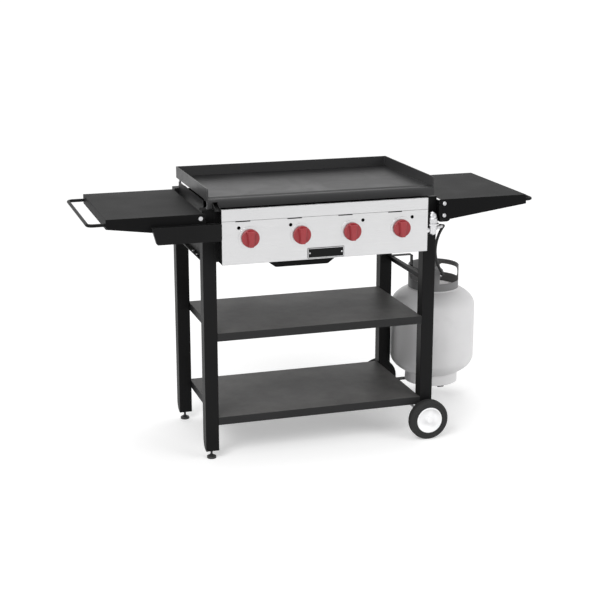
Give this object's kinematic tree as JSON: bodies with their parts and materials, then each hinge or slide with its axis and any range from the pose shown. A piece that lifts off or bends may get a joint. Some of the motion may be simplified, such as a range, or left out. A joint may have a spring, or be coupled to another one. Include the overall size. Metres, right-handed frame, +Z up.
{
  "type": "flat top griddle",
  "caption": "Gas flat top griddle cart: walled steel cooking plate over tube burners, stainless control panel, folding side shelves, open shelves, wheels and a gas tank.",
  "frame": {"origin": "on the floor under the middle of the whole cart's bounding box, without the free hose", "axes": "+X to the right as the cook faces the panel and along the cart's length, +Y to the back, +Z up"},
  "size_m": [1.563, 0.6266, 0.94],
  "materials": {
    "black_coat": "satin black powder coat",
    "cooking_steel": "matt black seasoned steel",
    "stainless": "brushed stainless steel",
    "red_plastic": "semi-gloss red",
    "zinc": "zinc plate",
    "brass": "machined",
    "black_pipe": "black pipe",
    "hose_rubber": "matt black rubber",
    "black_plastic": "moulded black",
    "tank_grey": "light grey gloss enamel",
    "collar_grey": "grey enamel",
    "tyre_rubber": "matt black",
    "wheel_plastic": "moulded light grey",
    "handwheel_plastic": "moulded black"
  },
  "bodies": {
    "frame": {"axle": "zinc", "axle_fittings": "zinc", "badge_plate": "black_coat", "box_back": "black_coat", "box_end_left": "black_coat", "box_end_right": "black_coat", "box_floor": "black_coat", "box_front": "black_coat", "burners": "stainless", "control_panel": "stainless", "drip_pan_rails": "black_coat", "frame_screws": "zinc", "gas_hose": "hose_rubber", "gas_valves": "brass", "grease_tray_hanger": "black_coat", "hose_coupling": "black_plastic", "knob_bezels": "stainless", "leg_front_left": "black_coat", "leg_front_right": "black_coat", "leg_rear_left": "black_coat", "leg_rear_right": "black_coat", "manifold": "black_pipe", "panel_sides": "black_coat", "panel_top_strip": "stainless", "plate_posts": "zinc", "regulator": "zinc", "shelf_bolts": "zinc", "shelf_brackets": "black_coat", "shelf_lower": "black_coat", "shelf_middle": "black_coat", "tank_body": "tank_grey", "tank_collar": "collar_grey", "tank_foot_ring": "tank_grey", "tank_hanger": "black_coat", "tank_rail": "black_coat", "tank_support": "black_coat", "tank_valve": "brass"},
    "plate": {"griddle_plate": "cooking_steel", "grease_spout": "black_coat"},
    "tray": {"grease_tray": "black_coat"},
    "pan": {"drip_pan": "black_coat"},
    "knob_1_set": {"knob_1": "red_plastic", "valve_stem_1": "zinc"},
    "knob_2_set": {"knob_2": "red_plastic", "valve_stem_2": "zinc"},
    "knob_3_set": {"knob_3": "red_plastic", "valve_stem_3": "zinc"},
    "knob_4_set": {"knob_4": "red_plastic", "valve_stem_4": "zinc"},
    "wheel_1": {"wheel_tyre_1": "tyre_rubber", "wheel_hub_1": "wheel_plastic"},
    "wheel_2": {"wheel_tyre_2": "tyre_rubber", "wheel_hub_2": "wheel_plastic"},
    "left_shelf": {"side_shelf_left": "black_coat", "handle_left": "black_coat"},
    "right_shelf": {"side_shelf_right": "black_coat", "handle_right": "black_coat"},
    "front_foot": {"foot_front": "black_plastic"},
    "rear_foot": {"foot_rear": "black_plastic"},
    "handwheel": {"tank_handwheel": "handwheel_plastic"}
  },
  "joints": [
    {"name": "knob_1_turn", "type": "hinge", "parent": "frame", "child": "knob_1_set", "pos_m": [-0.2514, -0.3133, 0.778], "axis": [0, -1, 0], "range_deg": [0, 120]},
    {"name": "knob_2_turn", "type": "hinge", "parent": "frame", "child": "knob_2_set", "pos_m": [-0.0748, -0.3133, 0.778], "axis": [0, -1, 0], "range_deg": [0, 120]},
    {"name": "knob_3_turn", "type": "hinge", "parent": "frame", "child": "knob_3_set", "pos_m": [0.1018, -0.3133, 0.778], "axis": [0, -1, 0], "range_deg": [0, 120]},
    {"name": "knob_4_turn", "type": "hinge", "parent": "frame", "child": "knob_4_set", "pos_m": [0.2784, -0.3133, 0.778], "axis": [0, -1, 0], "range_deg": [0, 120]},
    {"name": "wheel_1_spin", "type": "hinge", "parent": "frame", "child": "wheel_1", "pos_m": [0.4035, -0.2662, 0.072], "axis": [0, 1, 0], "continuous": true},
    {"name": "wheel_2_spin", "type": "hinge", "parent": "frame", "child": "wheel_2", "pos_m": [0.4035, 0.2418, 0.072], "axis": [0, 1, 0], "continuous": true},
    {"name": "left_shelf_fold", "type": "hinge", "parent": "frame", "child": "left_shelf", "pos_m": [-0.4125, -0.0422, 0.809], "axis": [0, -1, 0], "range_deg": [0, 90]},
    {"name": "right_shelf_fold", "type": "hinge", "parent": "frame", "child": "right_shelf", "pos_m": [0.4395, -0.0422, 0.809], "axis": [0, 1, 0], "range_deg": [0, 45]},
    {"name": "plate_lift", "type": "slide", "parent": "frame", "child": "plate", "axis": [0, 0, 1], "range_m": [0, 0.06]},
    {"name": "tray_lift", "type": "slide", "parent": "frame", "child": "tray", "axis": [0, 0, 1], "range_m": [0, 0.028]},
    {"name": "pan_slide", "type": "slide", "parent": "frame", "child": "pan", "axis": [0, -1, 0], "range_m": [0, 0.12]},
    {"name": "front_foot_screw", "type": "slide", "parent": "frame", "child": "front_foot", "axis": [0, 0, -1], "range_m": [0, 0.012]},
    {"name": "rear_foot_screw", "type": "slide", "parent": "frame", "child": "rear_foot", "axis": [0, 0, -1], "range_m": [0, 0.012]},
    {"name": "handwheel_turn", "type": "hinge", "parent": "frame", "child": "handwheel", "pos_m": [0.5885, 0.1548, 0.516], "axis": [0, 0, 1], "range_deg": [0, 350]}
  ]
}
